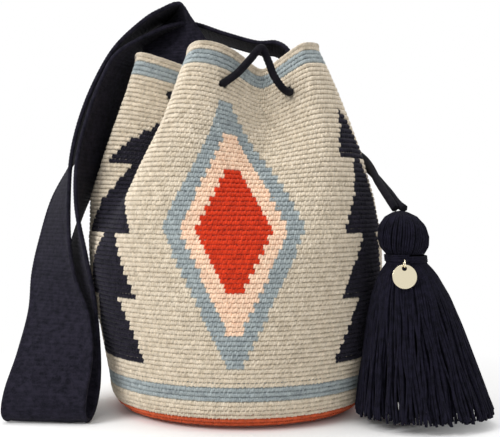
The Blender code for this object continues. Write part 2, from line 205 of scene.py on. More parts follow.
def new_mesh(name, points, quads, finish):
    """A smooth object from arrays of points and of equal faces."""
    mesh = bpy.data.meshes.new(name)
    mesh.from_pydata(points.reshape(-1, 3).tolist(), [], quads.tolist())
    mesh.shade_smooth()
    mesh.materials.append(finish)
    made = bpy.data.objects.new(name, mesh)
    scene.collection.objects.link(made)
    return made


def tube_frames(line):
    """Two directions across a line at each of its points, turning as little as possible."""
    along = np.gradient(line, axis=0)
    along /= np.linalg.norm(along, axis=1)[:, None]
    first = np.cross(along[0], (0.3, 0.2, 1.0))
    sides = [first / np.linalg.norm(first)]
    for direction in along[1:]:
        side = sides[-1] - direction * sides[-1].dot(direction)
        sides.append(side / np.linalg.norm(side))
    sides = np.array(sides)
    return sides, np.cross(along, sides)


def ring_quads(rings, count):
    """Faces between neighbouring rings of count points each."""
    row, i = np.meshgrid(np.arange(rings - 1), np.arange(count), indexing="ij")
    a = (row * count + i).ravel()
    b = (row * count + (i + 1) % count).ravel()
    return np.stack([a, b, b + count, a + count], axis=1)


def tube_points(line, radius, count):
    """Rings of count points round a line, at one radius or at one for each point."""
    side, up = tube_frames(line)
    turn = np.arange(count) / count * math.tau
    return line[:, None, :] + radius * (np.cos(turn)[None, :, None] * side[:, None, :]
                                        + np.sin(turn)[None, :, None] * up[:, None, :])


def end_rings(rings, count):
    """The points of the first ring, in turn the other way, and those of the last ring."""
    return range(count)[::-1], range((rings - 1) * count, rings * count)


def close_mesh(mesh, caps=()):
    """Close the open ends of a mesh, if any are given, and turn all its faces outwards."""
    work = bmesh.new()
    work.from_mesh(mesh)
    work.verts.ensure_lookup_table()
    for cap in caps:
        work.faces.new([work.verts[i] for i in cap])
    bmesh.ops.recalc_face_normals(work, faces=work.faces)
    work.to_mesh(mesh)
    work.free()


# Shared shader group: fine fibres of spun cotton, as a factor and as a bumped normal.
fibre = bpy.data.node_groups.new("cotton_fibre", "ShaderNodeTree")
fibre.interface.new_socket("Scale", in_out="INPUT", socket_type="NodeSocketFloat").default_value = 900.0
fibre.interface.new_socket("Height", in_out="INPUT", socket_type="NodeSocketFloat").default_value = 0.5
fibre.interface.new_socket("Factor", in_out="OUTPUT", socket_type="NodeSocketFloat")
fibre.interface.new_socket("Normal", in_out="OUTPUT", socket_type="NodeSocketVector")
group_in, group_out = fibre.nodes.new("NodeGroupInput"), fibre.nodes.new("NodeGroupOutput")
where = fibre.nodes.new("ShaderNodeTexCoord")
fuzz = fibre.nodes.new("ShaderNodeTexNoise")
fuzz.inputs["Detail"].default_value = 3.0
fuzz.inputs["Roughness"].default_value = 0.65
bump = fibre.nodes.new("ShaderNodeBump")
bump.inputs["Distance"].default_value = 0.0006
fibre.links.new(where.outputs["Object"], fuzz.inputs["Vector"])
fibre.links.new(group_in.outputs["Scale"], fuzz.inputs["Scale"])
fibre.links.new(fuzz.outputs[0], bump.inputs["Height"])
fibre.links.new(group_in.outputs["Height"], bump.inputs["Strength"])
fibre.links.new(fuzz.outputs[0], group_out.inputs["Factor"])
fibre.links.new(bump.outputs[0], group_out.inputs["Normal"])


def yarn_finish(name, light, dark, scale=900.0, height=0.5, sheen=0.08, roughness=0.9, shaded=False):
    """A cotton yarn that varies between two shades."""
    made = bpy.data.materials.new(name)
    made.use_nodes = True
    nodes, wires = made.node_tree.nodes, made.node_tree.links
    shader = nodes["Principled BSDF"]
    strands = nodes.new("ShaderNodeGroup")
    strands.node_tree = fibre
    strands.inputs["Scale"].default_value = scale
    strands.inputs["Height"].default_value = height
    patches = nodes.new("ShaderNodeTexNoise")
    patches.inputs["Scale"].default_value = 260.0
    place = nodes.new("ShaderNodeTexCoord")
    wires.new(place.outputs["Object"], patches.inputs["Vector"])
    both = nodes.new("ShaderNodeMath")
    both.operation = "ADD"
    wires.new(strands.outputs["Factor"], both.inputs[0])
    wires.new(patches.outputs[0], both.inputs[1])
    ramp = nodes.new("ShaderNodeValToRGB")
    ramp.color_ramp.elements[0].position, ramp.color_ramp.elements[0].color = 0.38, (*dark, 1)
    ramp.color_ramp.elements[1].position, ramp.color_ramp.elements[1].color = 0.60, (*light, 1)
    half = nodes.new("ShaderNodeMath")
    half.operation = "MULTIPLY"
    half.inputs[1].default_value = 0.5
    wires.new(both.outputs[0], half.inputs[0])
    wires.new(half.outputs[0], ramp.inputs[0])
    colour = ramp.outputs[0]
    if shaded:
        shade = nodes.new("ShaderNodeAttribute")
        shade.attribute_name = "shade"
        scaled = nodes.new("ShaderNodeVectorMath")
        scaled.operation = "SCALE"
        wires.new(colour, scaled.inputs[0])
        wires.new(shade.outputs["Fac"], scaled.inputs["Scale"])
        colour = scaled.outputs[0]
    wires.new(colour, shader.inputs["Base Color"])
    wires.new(strands.outputs["Normal"], shader.inputs["Normal"])
    shader.inputs["Roughness"].default_value = roughness
    shader.inputs["Specular IOR Level"].default_value = 0.12
    shader.inputs["Sheen Weight"].default_value = sheen
    shader.inputs["Sheen Roughness"].default_value = 0.5
    return made


# Drawstring: a round braided cord of dark cotton, 5.2 mm thick and about 79 cm long.
# It leaves the head of the tassel, runs through the eyelets round the mouth and comes back.
head = np.array((0.1060, -0.0727, 0.1426))


def beside(degrees, level, stand_off=0.0062):
    return wall_point(math.radians(degrees), level, stand_off)


def gathered(degrees, distance=0.0535, level=0.2255):
    angle = math.radians(degrees)
    return np.array((float(np.interp(level, heights, leans)) + distance * math.sin(angle),
                     -distance * math.cos(angle), level + float(through_folds(angle, 2)) * 0.6))


route = [head + (-0.0029, 0.0, 0.0), (0.1000, -0.0660, 0.1490), (0.0965, -0.0440, 0.1600),
         beside(98, 0.178), beside(114, 0.192), beside(127, 0.204), beside(136, 0.215)]
route += [gathered(degrees) for degrees in (121, 107, 92, 76, 60)]
route += [(0.0345, -0.0480, 0.2225), (0.0295, -0.0565, 0.2240), (0.0235, -0.0600, 0.2320),
          (0.0195, -0.0615, 0.2420), (0.0150, -0.0635, 0.2500), (0.0080, -0.0680, 0.2420),
          (0.0000, -0.0725, 0.2325), (-0.0075, -0.0745, 0.2265), (-0.0140, -0.0680, 0.2235),
          (-0.0190, -0.0590, 0.2235)]
route += [gathered(degrees, distance) for degrees, distance in (
    (-22, 0.0490), (-34, 0.0435), (-47, 0.0425), (-60, 0.0450), (-74, 0.0500))]
route += [gathered(degrees) for degrees in range(-88, -216, -12)]
route += [beside(141, 0.217, 0.009), beside(136, 0.208), beside(126, 0.197), beside(113, 0.185),
          beside(98, 0.1715), (0.1015, -0.0440, 0.1560), (0.1055, -0.0650, 0.1465), head + (0.0029, 0.0, 0.0)]
cord_line = curve_through(route, 900)
cord_length = float(np.linalg.norm(np.diff(cord_line, axis=0), axis=1).sum())
cord_sides, cord_radius, braid_pitch = 24, 0.0026, 400
around = np.arange(cord_sides) / cord_sides * math.tau
run = np.linspace(0, cord_length, len(cord_line))[:, None]
braid = np.sqrt(np.abs(np.sin(3 * (around + run * braid_pitch)) * np.sin(3 * (around - run * braid_pitch))))
cord_finish = yarn_finish("cord_cotton", (0.009, 0.008, 0.012), (0.002, 0.002, 0.004),
                          scale=1400.0, height=0.35, sheen=0.02)
cord = new_mesh("drawstring_braid", tube_points(cord_line, cord_radius * (0.86 + 0.20 * braid)[..., None], cord_sides),
                ring_quads(len(cord_line), cord_sides), cord_finish)
close_mesh(cord.data, end_rings(len(cord_line), cord_sides))
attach(cord, "bag")
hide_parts("drawstring")


# Bag fabric, the ground: a closed shell that carries the colours of the pattern, darkened as painted shade.
# It lies just under the stitches, has real eyelets for the cord, and shows as the inside of the bag.
stitches, repeat = 216, 72
row_pitch = 0.00305
levels = np.concatenate([[0.0], 0.0046 + row_pitch * np.arange(80)])
levels = levels[levels < 0.2475]
rim_level, wall = 0.2505, 0.0035
# Where the middle of the front motif stands at each height.
motif_heights = (0.00, 0.13, 0.17, 0.193, 0.214, 0.25)
motif_x = (-0.0018, -0.0018, -0.0030, -0.0045, -0.0080, -0.0085)
anchors = np.interp(levels, motif_heights, motif_x)
# Rhombi from the outside in: yarn, reach above and below the middle, and half width in stitches.
rhombus_middle = 0.1308
rhombi = ((2, 0.0829, 0.0910, 15.3), (3, 0.0618, 0.0673, 11.5), (4, 0.0382, 0.0418, 8.0))
# Tiers of a tree from the foot up: lower and upper height, and half width at each in stitches.
tiers = ((0.0418, 0.0846, 11.5, 5.0), (0.0846, 0.1280, 11.0, 3.5),
         (0.1280, 0.1762, 10.5, 2.0), (0.1762, 0.2045, 8.0, 0.5))


def fabric_row(level, centre_x, shares):
    """Points of one row at shares of its length, counted from the middle of the front motif."""
    angles = np.linspace(-math.pi, math.pi, 2881)
    if level >= 0.020:
        line = wall_point(angles, level)
    else:
        slope = math.acos(1 - level / 0.020)
        radius = 0.076 + (0.0945 - 0.076) * math.sin(slope)
        line = np.stack([radius * np.sin(angles), -radius * np.cos(angles), np.full_like(angles, level)], axis=-1)
    lengths = np.concatenate([[0.0], np.cumsum(np.linalg.norm(np.diff(line, axis=0), axis=1))])
    front = np.abs(angles) < 0.6
    start = np.interp(centre_x, line[front, 0], lengths[front])
    wanted = (start + shares * lengths[-1]) % lengths[-1]
    return np.stack([np.interp(wanted, lengths, line[:, axis]) for axis in range(3)], axis=-1)


def yarn_of(stitch, level):
    """Which yarn a stitch is worked in: 0 cream, 1 orange, 2 blue-grey, 3 peach, 4 red, 5 navy.

    The left tree spills over to its left, and the other trees drift with the folds.
    """
    u = (stitch + repeat / 2) % repeat - repeat / 2
    yarn = np.zeros(np.broadcast(u, level).shape, dtype=int)
    away = level - rhombus_middle
    for colour, above, below, widest in rhombi:
        share = 1 - np.where(away > 0, away / above, -away / below)
        yarn = np.where((share >= 0) & (np.abs(u) <= 1.5 + (widest - 1.5) * share), colour, yarn)
    left = (stitch % stitches) > stitches - repeat
    drift = np.where(left, 0.0, np.interp(level, (0.15, 0.19), (-1.8, -5.5)))
    spill = np.where(level < 0.1762, np.interp(level, (0.127, 0.128, 0.1762), (0.0, 5.0, 7.0)),
                     np.interp(level, (0.1762, 0.190, 0.2045), (8.5, 7.5, 4.0)))
    spill = np.where(left, spill, 0.0)
    v = (stitch - 38 - drift + repeat / 2) % repeat - repeat / 2
    for low, high, wide, narrow in tiers:
        share = (level - low) / (high - low)
        half_width = wide + (narrow - wide) * share
        inside = (share >= 0) & (share < 1) & (v <= half_width) & (-v <= half_width + spill)
        yarn = np.where(inside, 5, yarn)
    yarn = np.where((level > 0.0186) & (level < 0.0292), 2, yarn)
    yarn = np.where((level > 0.2350) & (level < 0.2450), 2, yarn)
    return np.where(level < 0.0085, 1, yarn)


yarns = (
    ("cream_cotton", (0.780, 0.690, 0.560), (0.600, 0.515, 0.395)),
    ("orange_cotton", (0.740, 0.150, 0.055), (0.540, 0.090, 0.032)),
    ("blue_grey_cotton", (0.440, 0.490, 0.495), (0.290, 0.330, 0.345)),
    ("peach_cotton", (0.960, 0.740, 0.560), (0.850, 0.590, 0.430)),
    ("red_cotton", (0.740, 0.056, 0.014), (0.540, 0.034, 0.009)),
    ("navy_yarn", (0.024, 0.021, 0.034), (0.006, 0.006, 0.011)),
)

columns = np.arange(stitches) / stitches
outer = np.array([fabric_row(level, x, columns) for level, x in zip(levels, anchors)])
flats = [np.stack([outer[0, :, 0] * share, outer[0, :, 1] * share, np.zeros(stitches)], axis=-1)
         for share in (0.03, 0.25, 0.50, 0.75)]
outer = np.concatenate([flats, outer])
top = fabric_row(rim_level, anchors[-1], columns)
outer = np.concatenate([outer, top[None]])
across = np.roll(outer, -1, axis=1) - np.roll(outer, 1, axis=1)
upwards = np.gradient(outer, axis=0)
normals = np.cross(across, upwards)
normals /= np.linalg.norm(normals, axis=2)[..., None]
normals[:5] = (0, 0, -1)
depth = 0.0012 * smooth_step(outer[..., 2], 0.0, 0.006)
skin = outer - normals * (depth[..., None] + np.where(outer[..., 2:] < 0.001, 0.0, 0.0002))
lining = (outer - normals * wall)[::2]
lining[:3, :, 2] = wall
shell_points = np.concatenate([skin.reshape(-1, 3), lining[::-1].reshape(-1, 3)])
rings = len(skin) + len(lining)
shell_quads = ring_quads(rings, stitches)
row_of = shell_quads[:, 0] // stitches
stitch_of = shell_quads[:, 0] % stitches
mid_level = np.concatenate([np.zeros(4), levels, [rim_level]])
all_levels = np.concatenate([mid_level, mid_level[::2][::-1]])
shell_yarn = yarn_of(stitch_of + 0.5, all_levels[row_of])
# Painted shade: the yarn colours are darkened to 0.72 and 0.66 for the gaps between the stitches, and the inside of
# the bag gets the same darker colours.
shade_darkened_grounds = [yarn_finish(name + "_ground", tuple(0.72 * c for c in light), tuple(0.66 * c for c in dark), height=0.8)
           for name, light, dark in yarns]
shell = new_mesh("bag_ground", shell_points, shell_quads, shade_darkened_grounds[0])
for ground in shade_darkened_grounds[1:]:
    shell.data.materials.append(ground)
close_mesh(shell.data, end_rings(rings, stitches))
shell.data.polygons.foreach_set("material_index", np.concatenate([shell_yarn, [1, 0]]).astype(np.int32))

eyelet_radius, eyelet_sides = 0.0032, 12
bore_line = cord_line[140:-140:6]
bore = new_mesh("eyelet_bore", tube_points(bore_line, eyelet_radius, eyelet_sides),
                ring_quads(len(bore_line), eyelet_sides), shade_darkened_grounds[0])
close_mesh(bore.data, end_rings(len(bore_line), eyelet_sides))
cut = shell.modifiers.new("eyelets", "BOOLEAN")
cut.operation = "DIFFERENCE"
cut.solver = "EXACT"
cut.object = bore
bpy.context.view_layer.update()
shell.data = bpy.data.meshes.new_from_object(shell.evaluated_get(bpy.context.evaluated_depsgraph_get()))
shell.modifiers.clear()
bpy.data.objects.remove(bore)
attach(shell, "bag")
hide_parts("bag_body")


# Bag fabric, the stitches: two short leaning strands of yarn for each stitch, in 81 rounds.
# Each yarn colour is a piece of its own, and the cream one is shared over three heights.
# The rounds are worked without a break, and the rim is one heavier rolled round.
strand_mesh = bpy.data.meshes.new("strand")
waist = [(math.cos(a), math.sin(a)) for a in np.arange(4) * math.pi / 2]
strand_mesh.from_pydata(
    [(0, -0.5, -0.22)] + [(0.5 * x, -0.24, 0.5 * z) for x, z in waist]
    + [(0.5 * x, 0.24, 0.5 * z) for x, z in waist] + [(0, 0.5, -0.22)], [],
    [(0, 1 + (i + 1) % 4, 1 + i) for i in range(4)]
    + [(1 + i, 1 + (i + 1) % 4, 5 + (i + 1) % 4, 5 + i) for i in range(4)]
    + [(9, 5 + i, 5 + (i + 1) % 4) for i in range(4)])
close_mesh(strand_mesh)
strand_mesh.shade_smooth()
strand = bpy.data.objects.new("strand", strand_mesh)
scene.collection.objects.link(strand)

scatter = bpy.data.node_groups.new("lay_strands", "GeometryNodeTree")
scatter.is_modifier = True
scatter.interface.new_socket("Geometry", in_out="INPUT", socket_type="NodeSocketGeometry")
scatter.interface.new_socket("Strand", in_out="INPUT", socket_type="NodeSocketObject")
scatter.interface.new_socket("Yarn", in_out="INPUT", socket_type="NodeSocketMaterial")
scatter.interface.new_socket("Geometry", in_out="OUTPUT", socket_type="NodeSocketGeometry")
begin, end = scatter.nodes.new("NodeGroupInput"), scatter.nodes.new("NodeGroupOutput")
info = scatter.nodes.new("GeometryNodeObjectInfo")
lay = scatter.nodes.new("GeometryNodeInstanceOnPoints")
turned = scatter.nodes.new("GeometryNodeInputNamedAttribute")
turned.data_type = "FLOAT_VECTOR"
turned.inputs["Name"].default_value = "turned"
sized = scatter.nodes.new("GeometryNodeInputNamedAttribute")
sized.data_type = "FLOAT_VECTOR"
sized.inputs["Name"].default_value = "sized"
angles_in = scatter.nodes.new("FunctionNodeEulerToRotation")
real = scatter.nodes.new("GeometryNodeRealizeInstances")
dye = scatter.nodes.new("GeometryNodeSetMaterial")
scatter.links.new(begin.outputs["Geometry"], lay.inputs["Points"])
scatter.links.new(begin.outputs["Strand"], info.inputs["Object"])
scatter.links.new(info.outputs["Geometry"], lay.inputs["Instance"])
scatter.links.new(turned.outputs["Attribute"], angles_in.inputs[0])
scatter.links.new(angles_in.outputs[0], lay.inputs["Rotation"])
scatter.links.new(sized.outputs["Attribute"], lay.inputs["Scale"])
scatter.links.new(lay.outputs[0], real.inputs[0])
scatter.links.new(real.outputs[0], dye.inputs["Geometry"])
scatter.links.new(begin.outputs["Yarn"], dye.inputs["Material"])
scatter.links.new(dye.outputs[0], end.inputs[0])
sockets = {item.name: item.identifier for item in scatter.interface.items_tree if item.in_out == "INPUT"}


def lay_strands(name, places, width_way, length_way, height_way, sizes, finish):
    """One piece made of strands at the given places, ways and sizes."""
    mesh = bpy.data.meshes.new(name)
    mesh.from_pydata(places.tolist(), [], [])
    angles = np.stack([np.arctan2(length_way[:, 2], height_way[:, 2]), -np.arcsin(np.clip(width_way[:, 2], -1, 1)),
                       np.arctan2(width_way[:, 1], width_way[:, 0])], axis=1)
    for label, values in (("turned", angles), ("sized", sizes)):
        vectors = mesh.attributes.new(label, "FLOAT_VECTOR", "POINT")
        vectors.data.foreach_set("vector", values.astype(np.float32).ravel())
    shades = np.clip(rng.normal(1.0, 0.05, len(places)), 0.8, 1.15)
    mesh.attributes.new("shade", "FLOAT", "POINT").data.foreach_set("value", shades.astype(np.float32))
    made = bpy.data.objects.new(name, mesh)
    scene.collection.objects.link(made)
    build = made.modifiers.new("strands", "NODES")
    build.node_group = scatter
    build[sockets["Strand"]] = strand
    build[sockets["Yarn"]] = finish
    bpy.context.view_layer.update()
    made.data = bpy.data.meshes.new_from_object(made.evaluated_get(bpy.context.evaluated_depsgraph_get()))
    made.modifiers.clear()
    made.data.shade_smooth()
    return made


rng = np.random.default_rng(7)
near_cord = KDTree(len(cord_line))
for i, point in enumerate(cord_line):
    near_cord.insert(point, i)
near_cord.balance()
row_levels = 0.0030 + row_pitch * np.arange(81)
row_levels = row_levels[row_levels < 0.2480]
row_anchors = np.interp(row_levels, motif_heights, motif_x)
strands_round = np.arange(2 * stitches) / (2 * stitches)
cloth = np.array([fabric_row(level, x, strands_round + 0.25 * (i % 2) / stitches)
                  for i, (level, x) in enumerate(zip(row_levels, row_anchors))])
across = np.roll(cloth, -1, axis=1) - np.roll(cloth, 1, axis=1)
spacing = np.linalg.norm(across, axis=2)[..., None] / 2
across /= 2 * spacing
upwards = np.gradient(cloth, axis=0)
out = np.cross(across, upwards)
out /= np.linalg.norm(out, axis=2)[..., None]
upwards = np.cross(out, across)
lean = np.radians(24 + rng.normal(0, 6, cloth.shape[:2]))[..., None]
length_way = np.cos(lean) * upwards + np.sin(lean) * across
width_way = np.cross(length_way, out)
thick = 0.0019
centres = cloth - out * (thick / 2 + 0.0001) + out * rng.normal(0, 0.00010, cloth.shape[:2])[..., None]
step = np.where(np.arange(cloth.shape[1]) % 2 == 0, 0.00019, -0.00019)[None, :, None]
centres += upwards * (step + rng.normal(0, 0.00010, cloth.shape[:2])[..., None])
centres[..., 2] = np.maximum(centres[..., 2], 0.0015)
sizes = np.concatenate([spacing * 1.28, np.full_like(spacing, row_pitch * 1.31),
                        np.full_like(spacing, thick)], axis=2)
sizes *= 1 + rng.normal(0, 0.05, sizes.shape)
which = yarn_of(np.floor(strands_round * stitches)[None, :] + 0.5, row_levels[:, None])
clear = np.array([[near_cord.find(point)[2] > 0.0033 for point in row] for row in cloth])
levels_of = np.broadcast_to(row_levels[:, None], clear.shape)
finishes = {name: yarn_finish(name, light, dark, shaded=True) for name, light, dark in yarns}
for index, (name, light, dark) in enumerate(yarns):
    bands = ((0.0, 0.09), (0.09, 0.18), (0.18, 0.3)) if index == 0 else ((0.0, 0.3),)
    for number, (low, high) in enumerate(bands):
        pick = (which == index) & clear & (levels_of >= low) & (levels_of < high)
        label = "stitches_" + name + ("_%d" % number if index == 0 else "")
        made = lay_strands(label, centres[pick], width_way[pick], length_way[pick], out[pick], sizes[pick],
                           finishes[name])
        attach(made, "bag")

rim = fabric_row(0.2497, row_anchors[-1], strands_round)
across = np.roll(rim, -1, axis=0) - np.roll(rim, 1, axis=0)
spacing = np.linalg.norm(across, axis=1)[:, None] / 2
across /= 2 * spacing
upwards = rim - fabric_row(0.2440, row_anchors[-1], strands_round)
out = np.cross(across, upwards)
out /= np.linalg.norm(out, axis=1)[:, None]
upwards = np.cross(out, across)
lean = np.radians(50 + rng.normal(0, 4, len(rim)))[:, None]
length_way = np.cos(lean) * upwards + np.sin(lean) * across
sizes = np.concatenate([spacing * 1.35, np.full_like(spacing, 0.0052), np.full_like(spacing, 0.0044)], axis=1)
rolled = lay_strands("rolled_rim", rim - out * 0.0017, np.cross(length_way, out), length_way, out, sizes,
                     finishes["cream_cotton"])
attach(rolled, "bag")
bpy.data.objects.remove(strand)


# Shoulder strap: one woven band of dark cotton, 57 mm wide, with ribs across it and corded edges.
# It is one closed ribbed solid along the route of the band; both ends are sewn inside the rim.
strap_edges = [
    ((-0.0130, -0.0170, 0.2400), (-0.0685, -0.0050, 0.2400)),
    ((-0.0140, -0.0170, 0.2520), (-0.0695, -0.0040, 0.2520)),
    ((-0.0260, -0.0165, 0.2670), (-0.0725, 0.0150, 0.2690)),
    ((-0.0350, -0.0185, 0.2800), (-0.0620, 0.0310, 0.2820)),
    ((-0.0430, -0.0200, 0.2895), (-0.0500, 0.0365, 0.2925)),
    ((-0.0560, -0.0205, 0.2850), (-0.0580, 0.0360, 0.2885)),
    ((-0.0690, -0.0210, 0.2770), (-0.0700, 0.0355, 0.2800)),
    ((-0.0885, -0.0215, 0.2585), (-0.0900, 0.0350, 0.2605)),
    ((-0.1025, -0.0220, 0.2350), (-0.1050, 0.0345, 0.2360)),
    ((-0.1130, -0.0240, 0.2080), (-0.1180, 0.0325, 0.2090)),
    ((-0.1190, -0.0270, 0.1800), (-0.1280, 0.0290, 0.1800)),
    ((-0.1200, -0.0300, 0.1500), (-0.1430, 0.0220, 0.1500)),
    ((-0.1180, -0.0370, 0.1200), (-0.1500, 0.0100, 0.1190)),
    ((-0.1120, -0.0460, 0.0950), (-0.1520, -0.0055, 0.0950)),
    ((-0.1010, -0.0560, 0.0700), (-0.1495, -0.0265, 0.0700)),
    ((-0.0970, -0.0660, 0.0450), (-0.1515, -0.0490, 0.0450)),
    ((-0.0995, -0.0715, 0.0220), (-0.1562, -0.0650, 0.0220)),
    ((-0.1005, -0.0725, 0.0080), (-0.1573, -0.0690, 0.0080)),
    ((-0.0990, -0.0660, 0.0018), (-0.1558, -0.0620, 0.0018)),
    ((-0.0965, -0.0585, 0.0070), (-0.1530, -0.0530, 0.0070)),
    ((-0.0945, -0.0520, 0.0220), (-0.1490, -0.0360, 0.0220)),
    ((-0.0955, -0.0480, 0.0500), (-0.1410, -0.0145, 0.0500)),
    ((-0.0985, -0.0480, 0.0800), (-0.1340, -0.0035, 0.0800)),
    ((-0.1050, -0.0460, 0.1100), (-0.1275, 0.0060, 0.1100)),
    ((-0.1130, -0.0420, 0.1450), (-0.1165, 0.0145, 0.1450)),
    ((-0.1145, -0.0310, 0.1800), (-0.0990, 0.0240, 0.1800)),
    ((-0.1075, -0.0255, 0.2120), (-0.0885, 0.0285, 0.2130)),
    ((-0.0985, -0.0240, 0.2350), (-0.0800, 0.0290, 0.2360)),
    ((-0.0875, -0.0225, 0.2540), (-0.0725, 0.0320, 0.2560)),
    ((-0.0640, -0.0160, 0.2690), (-0.0640, 0.0405, 0.2715)),
    ((-0.0490, -0.0130, 0.2755), (-0.0490, 0.0440, 0.2775)),
    ((-0.0330, -0.0100, 0.2770), (-0.0330, 0.0470, 0.2780)),
    ((-0.0120, -0.0110, 0.2700), (-0.0090, 0.0455, 0.2710)),
    ((0.0120, -0.0160, 0.2625), (0.0150, 0.0405, 0.2635)),
    ((0.0260, -0.0240, 0.2610), (0.0275, 0.0325, 0.2610)),
    ((0.0345, -0.0300, 0.2540), (0.0350, 0.0265, 0.2540)),
    ((0.0350, -0.0310, 0.2430), (0.0350, 0.0255, 0.2430)),
]
stations = curve_through([(*near, *far) for near, far in strap_edges], 1700)
middle = (stations[:, :3] + stations[:, 3:]) / 2
across = stations[:, 3:] - stations[:, :3]
across /= np.linalg.norm(across, axis=1)[:, None]
run = np.concatenate([[0.0], np.cumsum(np.linalg.norm(np.diff(middle, axis=0), axis=1))])
along = np.gradient(middle, axis=0)
face = np.cross(along, across)
face /= np.linalg.norm(face, axis=1)[:, None]
half_places = np.array([0.004, 0.011, 0.018, 0.0250, 0.0256, 0.0266, 0.0276, 0.0283, 0.0285])
places = np.concatenate([-half_places[::-1], half_places])
selvedge = np.abs(places) > 0.0252
rib = np.abs(np.sin(math.pi * run / 0.0030))[:, None]
twist = np.abs(np.sin(math.pi * run / 0.0026 + 0.6))[:, None]
flat_half = 0.0009 + 0.0006 * np.sqrt(rib)
roll = np.sqrt(np.clip(1 - ((np.abs(places) - 0.0268) / 0.0018) ** 2, 0.02, 1))
roll_half = 0.0017 * roll * (0.84 + 0.16 * twist)
half = np.where(selvedge, roll_half, flat_half * np.where(np.abs(np.abs(places) - 0.025) < 1e-4, 0.7, 1.0))
spread = middle[:, None, :] + across[:, None, :] * places[None, :, None]
top_face = spread + face[:, None, :] * half[..., None]
low_face = (spread - face[:, None, :] * half[..., None])[:, ::-1]
loop = np.concatenate([top_face, low_face], axis=1)
loop[..., 2] = np.maximum(loop[..., 2], 0.0001)
round_count = loop.shape[1]
strap_finish = yarn_finish("strap_cotton", (0.017, 0.015, 0.026), (0.004, 0.004, 0.008),
                           scale=1100.0, height=0.6, sheen=0.02)
strap = new_mesh("woven_strap", loop, ring_quads(len(loop), round_count), strap_finish)
close_mesh(strap.data, end_rings(len(loop), round_count))
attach(strap, "bag")
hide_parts("shoulder_strap")


# Strap seams: a run of sewing yarn through each end of the strap and the bag wall.
# Each is one strand that dips in and out of the fabric, 1 mm thick.
for name, end, other in (("strap_seam_left", 0, "left_seam_yarn"), ("strap_seam_right", -1, "right_seam_yarn")):
    near, far = (np.array(point) for point in strap_edges[end])
    way = (far - near) / np.linalg.norm(far - near)
    outwards = np.array((way[1], -way[0], 0.0)) * (1 if end == 0 else -1)
    share = np.linspace(0.30, 0.90, 61)[:, None]
    dip = 0.0006 * np.cos(share * 60)
    line = near + (far - near) * share + outwards * (0.0024 + dip) + np.array((0.0, 0.0, 0.0045))
    seam = new_mesh(other, tube_points(line, 0.0005, 8), ring_quads(len(line), 8), strap_finish)
    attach(seam, "bag")
    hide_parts(name)


# Tassel: a bundle of dark plied yarn, laid over the cord ends, bound at the neck and cut at the foot.
# Each strand is a curve; the strands of the head and of the skirt are one piece, as in the real bundle.
foot, tilt = np.array((0.1245, -0.0650)), np.array((-0.130, -0.055))
profile_z = (0.0050, 0.0100, 0.0200, 0.0420, 0.0650, 0.0850, 0.1000, 0.1070)
profile_r = (0.0450, 0.0452, 0.0427, 0.0372, 0.0312, 0.0252, 0.0182, 0.0124)
head_z = (0.1130, 0.1180, 0.1240, 0.1310, 0.1368, 0.1398, 0.1405)
head_r = (0.0124, 0.0160, 0.0168, 0.0154, 0.0108, 0.0050, 0.0006)
curves = bpy.data.curves.new("tassel_strands", "CURVE")
curves.dimensions = "3D"
rng = np.random.default_rng(21)


def add_strand(line, thickness):
    spline = curves.splines.new("POLY")
    spline.points.add(len(line) - 1)
    weighted = np.concatenate([line, np.ones((len(line), 1))], axis=1)
    spline.points.foreach_set("co", weighted.astype(np.float32).ravel())
    spline.points.foreach_set("radius", np.full(len(line), thickness, dtype=np.float32))


def leaned(radius, angle, height):
    """A point of the bundle from its radius, angle and height, with the lean and the flattening."""
    flat = 1 - 0.18 * smooth_step(0.110 - height, 0.005, 0.070)
    return np.stack([radius * np.sin(angle) + foot[0] + tilt[0] * height,
                     -radius * np.cos(angle) * flat + foot[1] + tilt[1] * height, height], axis=-1)


layers = ((0.985, 185), (0.93, 165), (0.85, 130), (0.70, 80), (0.45, 50))
for share, count in layers:
    for i in range(count):
        angle = (i + rng.uniform(-0.35, 0.35)) / count * math.tau
        low = 0.0055 + rng.uniform(0.0, 0.0035) + 0.012 * max(0.0, rng.normal(0, 0.25))
        height = np.linspace(0.1105, low, 26)
        way = np.linspace(0, 1, 26)
        angle_along = angle + 0.10 * rng.normal() * way + 0.025 * np.sin(way * rng.uniform(7, 14) + rng.uniform(0, 6))
        radius = np.interp(height, profile_z, profile_r) * (share + 0.02 * rng.normal() * way)
        radius += 0.0006 * np.sin(way * rng.uniform(6, 12) + rng.uniform(0, 6)) * way
        line = leaned(np.minimum(radius, np.interp(height, profile_z, profile_r)), angle_along, height)
        line[:, 2] = np.maximum(line[:, 2], 0.0010)
        add_strand(line, 0.00088 * rng.uniform(0.85, 1.15))
for share, count in ((1.0, 58), (0.88, 44)):
    for i in range(count):
        angle = (i + rng.uniform(-0.3, 0.3)) / count * math.tau
        t = np.linspace(0, 1, 22)
        height = np.interp(t, np.linspace(0, 1, len(head_z)), head_z)
        radius = np.interp(t, np.linspace(0, 1, len(head_z)), head_r) * share
        add_strand(leaned(radius - 0.0007, angle + 0.5 * t, height), 0.00080 * rng.uniform(0.9, 1.1))
strands = bpy.data.objects.new("tassel_yarn", curves)
scene.collection.objects.link(strands)

